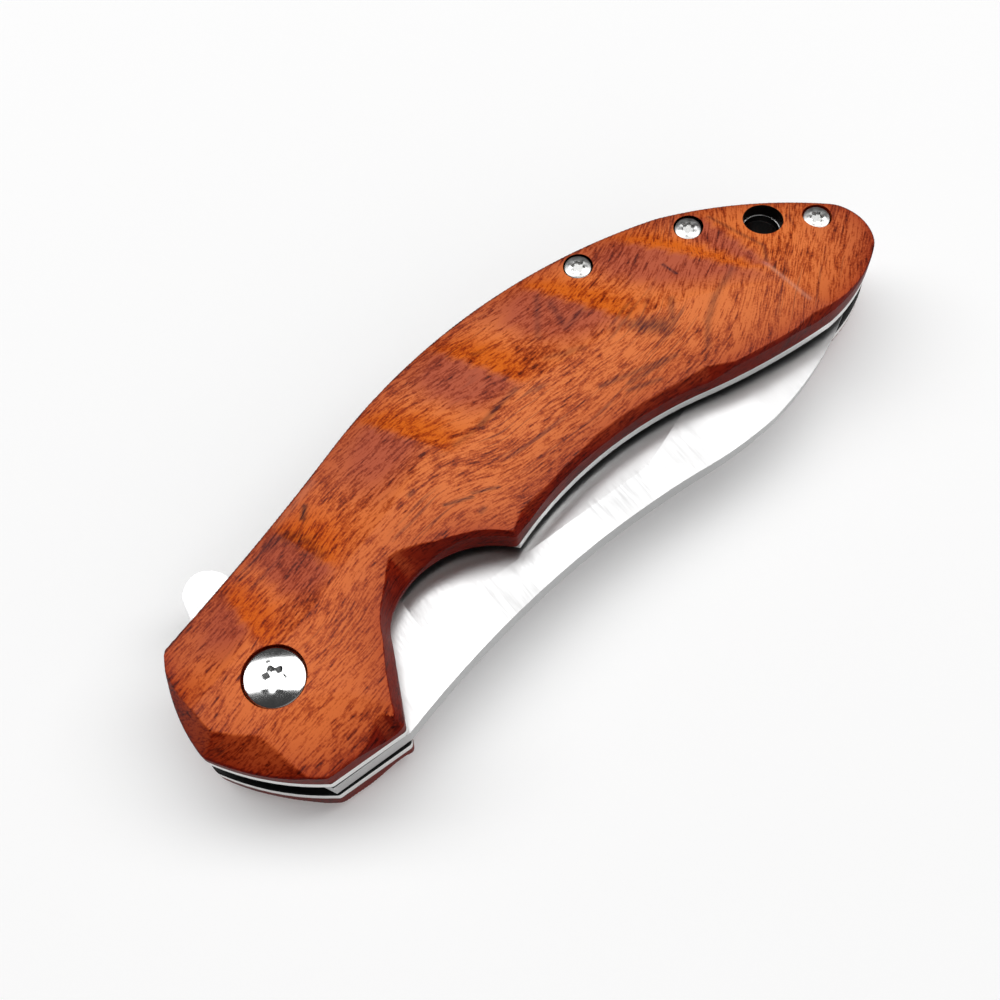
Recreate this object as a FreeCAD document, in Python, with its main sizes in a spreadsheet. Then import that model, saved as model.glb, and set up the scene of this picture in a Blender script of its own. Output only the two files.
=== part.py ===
import FreeCAD, Part
import math
import os
import Sketcher

# Folding pocket knife, closed: a blade that swings on a pivot between two steel liners, each covered by a
# carved wooden scale. X runs from the pivot end to the butt, Y towards the convex back edge and Z up
# through the thickness. The origin is under the middle of the knife, on the surface that it lies on.
# Sketches and tables of places are drawn from the pivot axis.

doc = FreeCAD.newDocument("folding_pocket_knife")
sheet = doc.addObject("Spreadsheet::Sheet", "Sizes")

# Driving dimensions in millimetres, angles in degrees.
SIZES = {
    "handle_length": 124.0,
    "handle_width": 45.0,
    "scale_thickness": 4.4,
    "liner_thickness": 1.6,
    "blade_slot": 5.0,
    "blade_thickness": 3.2,
    "corner_round": 0.8,
    "notch_relief": 0.9,
    "end_round": 2.0,
    "overrun": 3.0,
    # Pivot: barrel, its two screws and the thrust bearings.
    "barrel_radius": 3.0,
    "barrel_wall": 1.0,
    "running_clearance": 0.03,
    "seat_clearance": 0.02,
    "head_clearance": 0.2,
    "pivot_head_radius": 4.25,
    "pivot_head_rim": 1.4,
    "pivot_head_dome": 0.5,
    "pivot_head_seat": 2.4,
    "pivot_thread_length": 3.4,
    "pivot_drive_radius": 1.5,
    "pivot_drive_depth": 1.2,
    "bearing_outer_radius": 7.0,
    "bearing_inner_radius": 3.6,
    "bearing_recess": 0.8,
    "bearing_side_clearance": 0.2,
    "ball_clearance": 0.04,
    "ball_count": 8,
    "race_thickness": 0.3,
    "cage_thickness": 0.5,
    # Blade, stop and lock.
    "open_angle": 180.0,
    "tang_margin": 0.5,
    "edge_thickness": 0.5,
    "tip_thickness": 0.6,
    "stop_pin_radius": 1.1,
    "stop_pin_margin": 0.2,
    "stop_pin_engagement": 1.2,
    "stop_slot_clearance": 0.12,
    "lock_tip_gap": 0.6,
    "lock_slit": 0.3,
    "lock_root_gap": 0.1,
    "detent_ball_radius": 0.75,
    "detent_ball_proud": 0.15,
    "detent_hole_radius": 0.55,
    "detent_hole_depth": 0.35,
    # Body screws, their sleeves and the lanyard hole.
    "screw_head_radius": 2.05,
    "screw_head_rim": 0.5,
    "screw_head_dome": 0.8,
    "screw_seat": 1.2,
    "screw_shank_radius": 1.25,
    "screw_reach": 1.9,
    "screw_drive_radius": 0.9,
    "screw_drive_depth": 0.7,
    "screw_hole_clearance": 0.15,
    "sleeve_wall": 0.8,
    "screw_edge_wall": 0.5,
    "lanyard_radius": 2.9,
    "lanyard_relief": 0.1,
    "lanyard_edge_wall": 0.55,
    # Carving of the scales: shallow scallops along the back edge, steep ones along the front edge, and nearly
    # flat facets beside the notch and round the two ends.
    "back_scallop_radius": 45.0,
    "front_scallop_radius": 18.0,
    "notch_radius": 30.0,
    "facet_radius": 90.0,
    "cutter_length": 60.0,
    "cutter_overrun": 14.0,
    "notch_overrun": 3.0,
    "back_wall": 2.1,
    "back_slope": 8.0,
    "front_wall": 2.1,
    "front_slope": 40.0,
}
for row, (name, number) in enumerate(SIZES.items(), start=1):
    sheet.set(f"A{row}", name)
    sheet.set(f"B{row}", str(number))
    sheet.setAlias(f"B{row}", name)
doc.recompute()


def value(expression):
    """The number that an expression over the sheet comes to."""
    return float(sheet.evalExpression(expression))


def size(name):
    return value(f"Sizes.{name}")


def along(share):
    """A distance along the handle, as a share of its length."""
    return f"Sizes.handle_length * {share}"


def across(share):
    """A distance across the handle, as a share of its width."""
    return f"Sizes.handle_width * {share}"


STRAIGHT = "0"

# Heights of the layers, from the surface that the knife lies on.
LOCK_LINER_Z = "Sizes.scale_thickness"
SLOT_Z = LOCK_LINER_Z + " + Sizes.liner_thickness"
MIDDLE_Z = SLOT_Z + " + Sizes.blade_slot / 2"
FRONT_LINER_Z = SLOT_Z + " + Sizes.blade_slot"
FRONT_SCALE_Z = FRONT_LINER_Z + " + Sizes.liner_thickness"

# Place of the pivot axis, from the middle of the knife.
PIVOT_X_SHARE = -0.390595
PIVOT_Y_SHARE = -0.1611

# Corners of the handle's outline, from the front corner round by the notch, the butt and the back edge:
# x share, y share and the radius share of the stretch that leaves the corner. No radius is a straight
# stretch, a positive one bends to the left and a negative one to the right.
HANDLE_OUTLINE_SHARES = [
    (-0.0153, -0.3356, 0),
    (0.0798, -0.3411, 0),
    (0.1234, -0.098, -0.0565),
    (0.1468, -0.0156, -0.1145),
    (0.2976, -0.08, -0.508),
    (0.5806, -0.0173, 0.93),
    (0.7661, -0.0767, 0.2),
    (0.8758, 0.0444, 0.0532),
    (0.8714, 0.2511, 0.56),
    (0.6919, 0.5711, 0.77),
    (0.196, 0.5267, -3.19),
    (-0.079, 0.2856, 0.21),
    (-0.1073, -0.0556, 0.3065),
]
HANDLE_OUTLINE = [(along(x), across(y), along(bend)) for x, y, bend in HANDLE_OUTLINE_SHARES]
ROUNDED_CORNERS = {0: "corner_round", 1: "corner_round", 4: "corner_round", 11: "end_round", 12: "end_round"}

PIVOT_PLACE = (STRAIGHT, STRAIGHT)


def plane(body, role):
    return next(feature for feature in body.Origin.OriginFeatures if feature.Role == role)


def new_body(name):
    body = doc.addObject("PartDesign::Body", name)
    body.Label = name
    return body


def new_sketch(body, name, role="XY_Plane", lift=None):
    """A sketch on one of the body's own planes, lifted along the plane's normal."""
    sketch = body.newObject("Sketcher::SketchObject", name)
    sketch.AttachmentSupport = [(plane(body, role), "")]
    sketch.MapMode = "FlatFace"
    if lift:
        sketch.setExpression(".AttachmentOffset.Base.z", lift)
    return sketch


def stretch(start, end, bend):
    """Line or arc from one corner to the next, and the number of its vertex that lies at the start."""
    if bend == 0:
        return Part.LineSegment(start, end), 1
    chord = end - start
    to_left = FreeCAD.Vector(-chord.y, chord.x, 0).normalize()
    height = math.sqrt(bend ** 2 - (chord.Length / 2) ** 2)
    centre = (start + end) * 0.5 + to_left * math.copysign(height, bend)
    from_angle = math.atan2(start.y - centre.y, start.x - centre.x)
    to_angle = math.atan2(end.y - centre.y, end.x - centre.x)
    circle = Part.Circle(centre, FreeCAD.Vector(0, 0, 1), abs(bend))
    if bend > 0:
        return Part.ArcOfCircle(circle, from_angle, to_angle), 1
    return Part.ArcOfCircle(circle, to_angle, from_angle), 2


def edge_place(corner, stretch_share, inset):
    """Place at an inset from the handle's edge, at a share of the stretch that leaves a corner."""
    x, y, bend = HANDLE_OUTLINE[corner]
    x_next, y_next, bend_next = HANDLE_OUTLINE[corner + 1]
    start = FreeCAD.Vector(value(x), value(y), 0)
    end = FreeCAD.Vector(value(x_next), value(y_next), 0)
    edge, first = stretch(start, end, value(bend))
    parameter = edge.FirstParameter + (edge.LastParameter - edge.FirstParameter) * stretch_share
    ahead = edge.tangent(parameter)[0]
    place = edge.value(parameter) + FreeCAD.Vector(-ahead.y, ahead.x, 0) * value(inset)
    return str(place.x), str(place.y)


# Body screws and lanyard hole, near the back edge of the butt: corner and share of the stretch that they lie
# beside, and for the screws the share of the thin wall that is left between the counterbore and the edge.
SCREW_EDGE_SHARES = [(9, 0.233, 0.9), (8, 0.838, 1.6), (8, 0.075, 1)]
LANYARD_EDGE_SHARE = 0.395

SCREW_PLACES = [
    edge_place(corner, stretch_share,
               f"Sizes.screw_head_radius + Sizes.head_clearance + Sizes.screw_edge_wall * {wall_share}")
    for corner, stretch_share, wall_share in SCREW_EDGE_SHARES]
LANYARD_PLACE = edge_place(8, LANYARD_EDGE_SHARE,
                           "Sizes.lanyard_radius + Sizes.lanyard_relief + Sizes.lanyard_edge_wall")


def bind(sketch, constraint, expression):
    """Adds one constraint whose number follows the sheet."""
    index = sketch.addConstraint(constraint)
    sketch.setExpression(f"Constraints[{index}]", expression)


def draw_outline(sketch, corners):
    """Closed outline through corners given as x, y and the bend of the stretch that leaves them."""
    places = [FreeCAD.Vector(value(x), value(y), 0) for x, y, bend in corners]
    drawn = []
    for number, (x, y, bend) in enumerate(corners):
        end = places[(number + 1) % len(places)]
        geometry, first = stretch(places[number], end, value(bend))
        drawn.append((sketch.addGeometry(geometry, False), first))
    for number, (edge, first) in enumerate(drawn):
        after, after_first = drawn[(number + 1) % len(drawn)]
        sketch.addConstraint(Sketcher.Constraint("Coincident", edge, 3 - first, after, after_first))
    for place, (edge, first), (x, y, bend) in zip(places, drawn, corners):
        bind(sketch, Sketcher.Constraint("DistanceX", -1, 1, edge, first, place.x), x)
        bind(sketch, Sketcher.Constraint("DistanceY", -1, 1, edge, first, place.y), y)
        if value(bend) != 0:
            bind(sketch, Sketcher.Constraint("Radius", edge, abs(value(bend))), f"abs({bend})")


def draw_circles(sketch, places, radius):
    """Circles of one radius at places given as x and y."""
    for x, y in places:
        centre = FreeCAD.Vector(value(x), value(y), 0)
        circle = Part.Circle(centre, FreeCAD.Vector(0, 0, 1), value(radius))
        edge = sketch.addGeometry(circle, False)
        if (x, y) == PIVOT_PLACE:
            sketch.addConstraint(Sketcher.Constraint("Coincident", edge, 3, -1, 1))
        else:
            bind(sketch, Sketcher.Constraint("DistanceX", -1, 1, edge, 3, centre.x), x)
            bind(sketch, Sketcher.Constraint("DistanceY", -1, 1, edge, 3, centre.y), y)
        bind(sketch, Sketcher.Constraint("Radius", edge, value(radius)), radius)


def pad(body, sketch, thickness, symmetric=False):
    feature = body.newObject("PartDesign::Pad", sketch.Name + "_pad")
    feature.Profile = sketch
    feature.setExpression("Length", thickness)
    if symmetric:
        feature.SideType = "Symmetric"
    doc.recompute()
    return feature


def pocket(body, sketch, depth=None, along_normal=False, symmetric=False):
    """Cuts the sketch out of the body, against its plane's normal unless told otherwise, and checks that
    something was cut."""
    doc.recompute()
    volume = body.Shape.Volume
    feature = body.newObject("PartDesign::Pocket", sketch.Name + "_pocket")
    feature.Profile = sketch
    feature.Type = "Length" if depth else "ThroughAll"
    if depth:
        feature.setExpression("Length", depth)
    feature.Reversed = along_normal
    if symmetric:
        feature.SideType = "Symmetric"
    doc.recompute()
    if body.Shape.Volume >= volume:
        raise RuntimeError(f"{feature.Name} cuts nothing")
    return feature


def holes(body, name, places, radius, lift=None):
    """Round holes upwards through the body, from its lower plane or from a seat above it."""
    sketch = new_sketch(body, name, lift=lift)
    draw_circles(sketch, places, radius)
    return pocket(body, sketch, along_normal=True)


def at_pivot(piece, height):
    """Puts a piece that is drawn from the pivot axis at its height in the knife."""
    piece.setExpression(".Placement.Base.x", along(PIVOT_X_SHARE))
    piece.setExpression(".Placement.Base.y", across(PIVOT_Y_SHARE))
    piece.setExpression(".Placement.Base.z", height)


def upright_edges(shape, place):
    """Names of the shape's edges that stand upright at a place."""
    names = []
    for number, edge in enumerate(shape.Edges, start=1):
        ends = [FreeCAD.Vector(vertex.X, vertex.Y, 0) for vertex in edge.Vertexes]
        if len(ends) == 2 and all(end.isEqual(place, Part.Precision.confusion() * 1000) for end in ends):
            names.append(f"Edge{number}")
    return names


def handle_prism(name, thickness):
    """Plate with the handle's outline, its sharp corners rounded."""
    body = new_body(name)
    sketch = new_sketch(body, name + "_outline")
    draw_outline(sketch, HANDLE_OUTLINE)
    feature = pad(body, sketch, thickness)
    for corner, radius in ROUNDED_CORNERS.items():
        x, y, bend = HANDLE_OUTLINE[corner]
        place = FreeCAD.Vector(value(x), value(y), 0)
        rounding = body.newObject("PartDesign::Fillet", f"{name}_corner_{corner}")
        rounding.Base = (feature, upright_edges(feature.Shape, place))
        rounding.setExpression("Radius", f"Sizes.{radius}")
        doc.recompute()
        feature = rounding
    return body


def ring(name, outer, inner, thickness):
    body = new_body(name)
    sketch = new_sketch(body, name + "_rings")
    draw_circles(sketch, [PIVOT_PLACE], outer)
    draw_circles(sketch, [PIVOT_PLACE], inner)
    pad(body, sketch, thickness)
    return body


def boolean(kind, name, base, tool):
    piece = doc.addObject(f"Part::{kind}", name)
    piece.Label = name
    piece.Base = base
    piece.Tool = tool
    doc.recompute()
    return piece


def mirrored(source, name):
    """The same piece on the other side of the blade's middle plane."""
    piece = doc.addObject("Part::Mirroring", name)
    piece.Label = name
    piece.Source = source
    piece.Normal = FreeCAD.Vector(0, 0, 1)
    piece.setExpression("Base.z", MIDDLE_Z)
    doc.recompute()
    return piece


def group(name, solids):
    """Like pieces kept together as separate solids of one node."""
    piece = doc.addObject("Part::Feature", name)
    piece.Label = name
    piece.Shape = Part.makeCompound(solids)
    return piece


def pivot_point(x, y, height):
    """A place given from the pivot axis, in the knife's own frame."""
    return FreeCAD.Vector(value(along(PIVOT_X_SHARE)) + value(x), value(across(PIVOT_Y_SHARE)) + value(y),
                          value(height))


# Scales: wooden plates with the pivot's counterbore, the screws' counterbores and the lanyard hole.
SHANK_HOLE = "Sizes.screw_shank_radius + Sizes.screw_hole_clearance"

scale_blank = handle_prism("scale_blank", "Sizes.scale_thickness")
holes(scale_blank, "scale_pivot_hole", [PIVOT_PLACE], "Sizes.barrel_radius")
holes(scale_blank, "scale_pivot_seat", [PIVOT_PLACE], "Sizes.pivot_head_radius + Sizes.head_clearance",
      "Sizes.pivot_head_seat")
holes(scale_blank, "scale_screw_holes", SCREW_PLACES, SHANK_HOLE)
holes(scale_blank, "scale_screw_seats", SCREW_PLACES, "Sizes.screw_head_radius + Sizes.head_clearance",
      "Sizes.screw_seat")
holes(scale_blank, "scale_lanyard_hole", [LANYARD_PLACE], "Sizes.lanyard_radius + Sizes.lanyard_relief")
at_pivot(scale_blank, FRONT_SCALE_Z)

# Carving. Each cut is a round-bottomed groove: x share and y share of its foot on the edge, and its
# heading in degrees inwards from there. It rises at a slope from the wall that it leaves at the edge.
BACK_SCALLOP_SHARES = [
    (-0.036, 0.32, -78),
    (0.058, 0.393, -70),
    (0.178, 0.507, -58),
    (0.319, 0.613, -66),
    (0.444, 0.658, -64),
    (0.569, 0.644, -57),
    (0.704, 0.549, -68),
    (0.802, 0.393, -118),
]
FRONT_SCALLOP_SHARES = [
    (0.331, -0.048, 106),
    (0.46, 0.01, 92),
    (0.605, -0.03, 80),
    (0.742, -0.078, 86),
]
# Facets: the same, then the wall as a share of the scale's thickness and the slope in degrees. First those
# on the two sides of the notch, then the butt, the front corner, its bevel and the pivot end.
NOTCH_FACET_SHARES = [
    (0.169, 0.007, 112, 0.43, 36),
    (0.106, -0.191, 152, 0.6, 40),
]
FACET_SHARES = [
    (0.883, 0.111, 172, 0.42, 8.7),
    (-0.0153, -0.3356, 75, 0.66, 8),
    (0.0645, -0.34, 101, 0.35, 42),
    (-0.088, -0.138, 46, 0.5, 31),
    (-0.052, -0.256, 22.5, 0.63, 40),
    (-0.1065, 0.044, 8, 0.5, 50),
]


def groove_cutter(name, foot_x, foot_y, heading, wall, slope, radius, overrun):
    """Cylinder whose lowest line starts above the foot, outside the edge, and rises inwards."""
    turn = math.radians(heading)
    rise = math.radians(slope)
    uphill = FreeCAD.Vector(math.cos(rise) * math.cos(turn), math.cos(rise) * math.sin(turn), math.sin(rise))
    upright = FreeCAD.Vector(-math.sin(rise) * math.cos(turn), -math.sin(rise) * math.sin(turn),
                             math.cos(rise))
    start = pivot_point(foot_x, foot_y, FRONT_SCALE_Z) + FreeCAD.Vector(0, 0, value(wall))
    start = start + upright * size(radius) - uphill * size(overrun)
    cutter = doc.addObject("Part::Cylinder", name)
    cutter.setExpression("Radius", f"Sizes.{radius}")
    cutter.setExpression("Height", "Sizes.cutter_length")
    cutter.Placement = FreeCAD.Placement(start, FreeCAD.Rotation(FreeCAD.Vector(0, 0, 1), uphill))
    return cutter


cuts = []
for foot_x, foot_y, heading in BACK_SCALLOP_SHARES:
    cuts.append((foot_x, foot_y, heading, "Sizes.back_wall", size("back_slope"), "back_scallop_radius",
                 "cutter_overrun"))
for foot_x, foot_y, heading in FRONT_SCALLOP_SHARES:
    cuts.append((foot_x, foot_y, heading, "Sizes.front_wall", size("front_slope"), "front_scallop_radius",
                 "notch_overrun"))
for foot_x, foot_y, heading, wall_share, slope in NOTCH_FACET_SHARES:
    cuts.append((foot_x, foot_y, heading, f"Sizes.scale_thickness * {wall_share}", slope, "notch_radius",
                 "notch_overrun"))
for foot_x, foot_y, heading, wall_share, slope in FACET_SHARES:
    cuts.append((foot_x, foot_y, heading, f"Sizes.scale_thickness * {wall_share}", slope, "facet_radius",
                 "cutter_overrun"))

front_scale = scale_blank
for number, (foot_x, foot_y, *cut) in enumerate(cuts):
    cutter = groove_cutter(f"cutter_{number}", along(foot_x), across(foot_y), *cut)
    front_scale = boolean("Cut", f"carving_{number}", front_scale, cutter)
front_scale.Label = "front_scale"
rear_scale = mirrored(front_scale, "rear_scale")

# Liners: steel plates with a round slot in which the stop pin travels as the blade swings. The pin's orbit
# lies just outside the bearing, and the round of the tang just outside the orbit.
SLOT_RADIUS = "Sizes.stop_pin_radius + Sizes.stop_slot_clearance"
RECESS_RADIUS = "Sizes.bearing_outer_radius + Sizes.bearing_side_clearance"
STOP_ORBIT = f"({RECESS_RADIUS} + Sizes.stop_pin_margin + Sizes.stop_pin_radius)"
TANG_RADIUS = f"({STOP_ORBIT} + Sizes.tang_margin)"
STOP_START = (STRAIGHT, f"-{STOP_ORBIT}")
STOP_END = (f"-{STOP_ORBIT} * sin(Sizes.open_angle)", f"-{STOP_ORBIT} * cos(Sizes.open_angle)")


def liner(name):
    body = handle_prism(name, "Sizes.liner_thickness")
    holes(body, name + "_barrel_hole", [PIVOT_PLACE], "Sizes.barrel_radius + Sizes.seat_clearance")
    holes(body, name + "_screw_holes", SCREW_PLACES, SHANK_HOLE)
    holes(body, name + "_lanyard_hole", [LANYARD_PLACE], "Sizes.lanyard_radius")
    section = new_sketch(body, name + "_stop_section", "YZ_Plane")
    near = f"-({STOP_ORBIT} - ({SLOT_RADIUS}))"
    far = f"-({STOP_ORBIT} + {SLOT_RADIUS})"
    draw_outline(section, [
        (far, STRAIGHT, STRAIGHT),
        (near, STRAIGHT, STRAIGHT),
        (near, "Sizes.liner_thickness", STRAIGHT),
        (far, "Sizes.liner_thickness", STRAIGHT),
    ])
    doc.recompute()
    volume = body.Shape.Volume
    slot = body.newObject("PartDesign::Groove", name + "_stop_slot")
    slot.Profile = section
    slot.ReferenceAxis = (section, ["V_Axis"])
    slot.setExpression("Angle", "Sizes.open_angle")
    slot.Reversed = True
    doc.recompute()
    if body.Shape.Volume >= volume:
        raise RuntimeError(f"{slot.Name} cuts nothing")
    holes(body, name + "_stop_start", [STOP_START], SLOT_RADIUS)
    holes(body, name + "_stop_end", [STOP_END], SLOT_RADIUS)
    return body


# The front liner stands back from the notch under the scale, by a relief beyond the round of the notch.
NOTCH_ROUND_PLACE_SHARE = (0.2073, -0.2822)
NOTCH_ROUND_SHARE = 0.1145

front_liner = liner("front_liner")
holes(front_liner, "front_liner_notch_relief",
      [(along(NOTCH_ROUND_PLACE_SHARE[0]), across(NOTCH_ROUND_PLACE_SHARE[1]))],
      f"{along(NOTCH_ROUND_SHARE)} + Sizes.notch_relief")
at_pivot(front_liner, FRONT_LINER_Z)

# Lock liner and lock bar: the bar is a tongue of the liner, parted from it by a slit along its inner side
# and at its tip, and springs in behind the tang when the blade is open.
BAR_LOW_SHARE = -0.022
BAR_HIGH_SHARE = 0.178
BAR_STEP_SHARE = 0.15
BAR_OUTSIDE_SHARE = -0.14
BAR_ROOT_SHARE = 0.468
BAR_TIP = f"{TANG_RADIUS} + Sizes.lock_tip_gap"


def bar_region(slit, root_gap):
    """Outline round the lock bar, grown by the slit. Its low side lies outside the handle's notch."""
    tip = f"{BAR_TIP} - {slit}"
    low = f"{across(BAR_LOW_SHARE)} - {slit}"
    high = f"{across(BAR_HIGH_SHARE)} + {slit}"
    root = f"{along(BAR_ROOT_SHARE)} + {root_gap}"
    return [
        (tip, low, STRAIGHT),
        (along(BAR_STEP_SHARE), low, STRAIGHT),
        (along(BAR_STEP_SHARE), across(BAR_OUTSIDE_SHARE), STRAIGHT),
        (root, across(BAR_OUTSIDE_SHARE), STRAIGHT),
        (root, high, STRAIGHT),
        (tip, high, STRAIGHT),
    ]


lock_liner = liner("lock_liner")
bar_cut = new_sketch(lock_liner, "bar_cut")
draw_outline(bar_cut, bar_region("Sizes.lock_slit", "Sizes.lock_root_gap"))
pocket(lock_liner, bar_cut, along_normal=True)
at_pivot(lock_liner, LOCK_LINER_Z)

DETENT_PLACE_SHARE = (0.117, 0.0667)
DETENT_PLACE = (along(DETENT_PLACE_SHARE[0]), across(DETENT_PLACE_SHARE[1]))

bar_blank = handle_prism("bar_blank", "Sizes.liner_thickness")
holes(bar_blank, "bar_ball_hole", [DETENT_PLACE], "Sizes.detent_ball_radius + Sizes.seat_clearance")
at_pivot(bar_blank, LOCK_LINER_Z)
bar_plate = new_body("bar_plate")
bar_outline = new_sketch(bar_plate, "bar_outline")
draw_outline(bar_outline, bar_region(STRAIGHT, STRAIGHT))
pad(bar_plate, bar_outline, "Sizes.liner_thickness")
at_pivot(bar_plate, LOCK_LINER_Z)
lock_bar = boolean("Common", "lock_bar", bar_blank, bar_plate)

detent_ball = doc.addObject("Part::Sphere", "detent_ball")
detent_ball.setExpression("Radius", "Sizes.detent_ball_radius")
detent_ball.Placement.Base = pivot_point(*DETENT_PLACE, SLOT_Z)
detent_ball.setExpression(".Placement.Base.z",
                          f"{SLOT_Z} + Sizes.detent_ball_proud - Sizes.detent_ball_radius")

# Blade, folded: tang corner, spine, tip, cutting edge, heel, flipper tab and the round of the tang.
# Columns as in the handle's outline. The last two corners lie on the tang's round.
BLADE_OUTLINE_SHARES = [
    (-0.0161, -0.333, 0),
    (0.083, -0.3356, -1.29),
    (0.3815, -0.1993, -1.44),
    (0.521, -0.2067, 0.56),
    (0.6395, -0.2089, 0.476),
    (0.8355, 0.0067, 0.432),
    (0.605, 0.2556, 1.13),
    (0.141, 0.1444, 0),
    (0.048, 0.2333, 0),
    (0.0234, 0.4133, 0.035),
    (-0.004, 0.489, 0.033),
    (-0.0315, 0.4444, 0),
    (-0.0371, 0.3667, 0),
]
TANG_START_ANGLE = 116.4
TANG_END_ANGLE = 224.7
BLADE_OUTLINE = [(along(x), across(y), along(bend)) for x, y, bend in BLADE_OUTLINE_SHARES]
BLADE_OUTLINE += [
    (f"{TANG_RADIUS} * cos({TANG_START_ANGLE})", f"{TANG_RADIUS} * sin({TANG_START_ANGLE})", TANG_RADIUS),
    (f"{TANG_RADIUS} * cos({TANG_END_ANGLE})", f"{TANG_RADIUS} * sin({TANG_END_ANGLE})", STRAIGHT),
]
PLUNGE_SHARE = 0.161
GRIND_LINE_SHARE = -0.093
EDGE_SHARE = 0.3
TAPER_START_SHARE = 0.484
TIP_SHARE = 0.84

blade = new_body("blade")
blade_outline = new_sketch(blade, "blade_outline")
draw_outline(blade_outline, BLADE_OUTLINE)
pad(blade, blade_outline, "Sizes.blade_thickness", symmetric=True)


def wedge(thick_end, thin_end, thin, side):
    """Triangle above or below the blade: from full thickness at one end to thin at the other."""
    face = f"{side} * Sizes.blade_thickness / 2"
    return [
        (thick_end, face, STRAIGHT),
        (thin_end, f"{side} * {thin} / 2", STRAIGHT),
        (thin_end, f"{face} + {side} * Sizes.overrun", STRAIGHT),
    ]


# The two bevels run from the grind line down to the edge, beyond the plunge beside the tang.
bevel = new_sketch(blade, "blade_bevel", "YZ_Plane", along(PLUNGE_SHARE))
for side in (1, -1):
    draw_outline(bevel, wedge(across(GRIND_LINE_SHARE), across(EDGE_SHARE), "Sizes.edge_thickness", side))
pocket(blade, bevel, along_normal=True)

# The blade thins towards its tip.
taper = new_sketch(blade, "blade_taper", "XZ_Plane")
for side in (1, -1):
    draw_outline(taper, wedge(along(TAPER_START_SHARE), along(TIP_SHARE), "Sizes.tip_thickness", side))
pocket(blade, taper, symmetric=True)

# Bore for the barrel, bearing recesses in both sides of the tang, stop pin hole and detent hole.
BLADE_UNDERSIDE = "-Sizes.blade_thickness / 2"
RECESS_FLOOR = "Sizes.blade_thickness / 2 - Sizes.bearing_recess"
holes(blade, "blade_bore", [PIVOT_PLACE], "Sizes.barrel_radius + Sizes.running_clearance", BLADE_UNDERSIDE)
holes(blade, "stop_pin_hole", [STOP_START], "Sizes.stop_pin_radius + Sizes.seat_clearance", BLADE_UNDERSIDE)
holes(blade, "front_recess", [PIVOT_PLACE], RECESS_RADIUS, RECESS_FLOOR)
rear_recess = new_sketch(blade, "rear_recess", lift=f"-({RECESS_FLOOR})")
draw_circles(rear_recess, [PIVOT_PLACE], RECESS_RADIUS)
pocket(blade, rear_recess)
detent_hole = new_sketch(blade, "detent_hole", lift=BLADE_UNDERSIDE)
draw_circles(detent_hole, [DETENT_PLACE], "Sizes.detent_hole_radius")
pocket(blade, detent_hole, "Sizes.detent_hole_depth", along_normal=True)
at_pivot(blade, MIDDLE_Z)

stop_pin = doc.addObject("Part::Cylinder", "stop_pin")
stop_pin.setExpression("Radius", "Sizes.stop_pin_radius")
stop_pin.setExpression("Height", "Sizes.blade_slot + 2 * Sizes.stop_pin_engagement")
stop_pin.Placement.Base = pivot_point(*STOP_START, SLOT_Z)
stop_pin.setExpression(".Placement.Base.z", f"{SLOT_Z} - Sizes.stop_pin_engagement")

# Pivot barrel, held in both liners.
pivot_barrel = ring("pivot_barrel", "Sizes.barrel_radius", "Sizes.barrel_radius - Sizes.barrel_wall",
                    "Sizes.blade_slot + 2 * Sizes.liner_thickness")
at_pivot(pivot_barrel, LOCK_LINER_Z)

# Six-lobed drive of the screws: lobes and flutes alternate round a circle, with lobe, flute and mean
# radius as shares of the drive's own radius.
LOBES = 6
MEAN_RADIUS_SHARE = 0.84
LOBE_ROUND_SHARE = 0.3
FLUTE_ROUND_SHARE = 0.34
LOBE_HALF_ANGLE = 17


def drive_outline(radius):
    corners = []
    for lobe in range(LOBES):
        for offset, round_share in ((-LOBE_HALF_ANGLE, LOBE_ROUND_SHARE), (LOBE_HALF_ANGLE, -FLUTE_ROUND_SHARE)):
            angle = 360 / LOBES * lobe + offset
            corners.append((f"{radius} * {MEAN_RADIUS_SHARE} * cos({angle})",
                            f"{radius} * {MEAN_RADIUS_SHARE} * sin({angle})",
                            f"{radius} * {round_share}"))
    return corners


def domed_screw(name, head, rim, dome, shank, reach, drive, drive_depth):
    """Turned screw with a domed head, from the seat of its head: shank below, rim and dome above."""
    body = new_body(name)
    profile = new_sketch(body, name + "_profile", "XZ_Plane")
    draw_outline(profile, [
        (STRAIGHT, f"-({reach})", STRAIGHT),
        (shank, f"-({reach})", STRAIGHT),
        (shank, STRAIGHT, STRAIGHT),
        (head, STRAIGHT, STRAIGHT),
        (head, rim, f"({head} * {head} + {dome} * {dome}) / (2 * {dome})"),
        (STRAIGHT, f"{rim} + {dome}", STRAIGHT),
    ])
    turned = body.newObject("PartDesign::Revolution", name + "_turned")
    turned.Profile = profile
    turned.ReferenceAxis = (profile, ["V_Axis"])
    doc.recompute()
    recess = new_sketch(body, name + "_drive", lift=f"{rim} + {dome}")
    draw_outline(recess, drive_outline(drive))
    pocket(body, recess, drive_depth)
    return body


front_pivot_screw = domed_screw(
    "front_pivot_screw", "Sizes.pivot_head_radius", "Sizes.pivot_head_rim", "Sizes.pivot_head_dome",
    "Sizes.barrel_radius - Sizes.barrel_wall - Sizes.seat_clearance",
    "Sizes.pivot_head_seat + Sizes.pivot_thread_length", "Sizes.pivot_drive_radius", "Sizes.pivot_drive_depth")
at_pivot(front_pivot_screw, FRONT_SCALE_Z + " + Sizes.pivot_head_seat")
rear_pivot_screw = mirrored(front_pivot_screw, "rear_pivot_screw")

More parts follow.
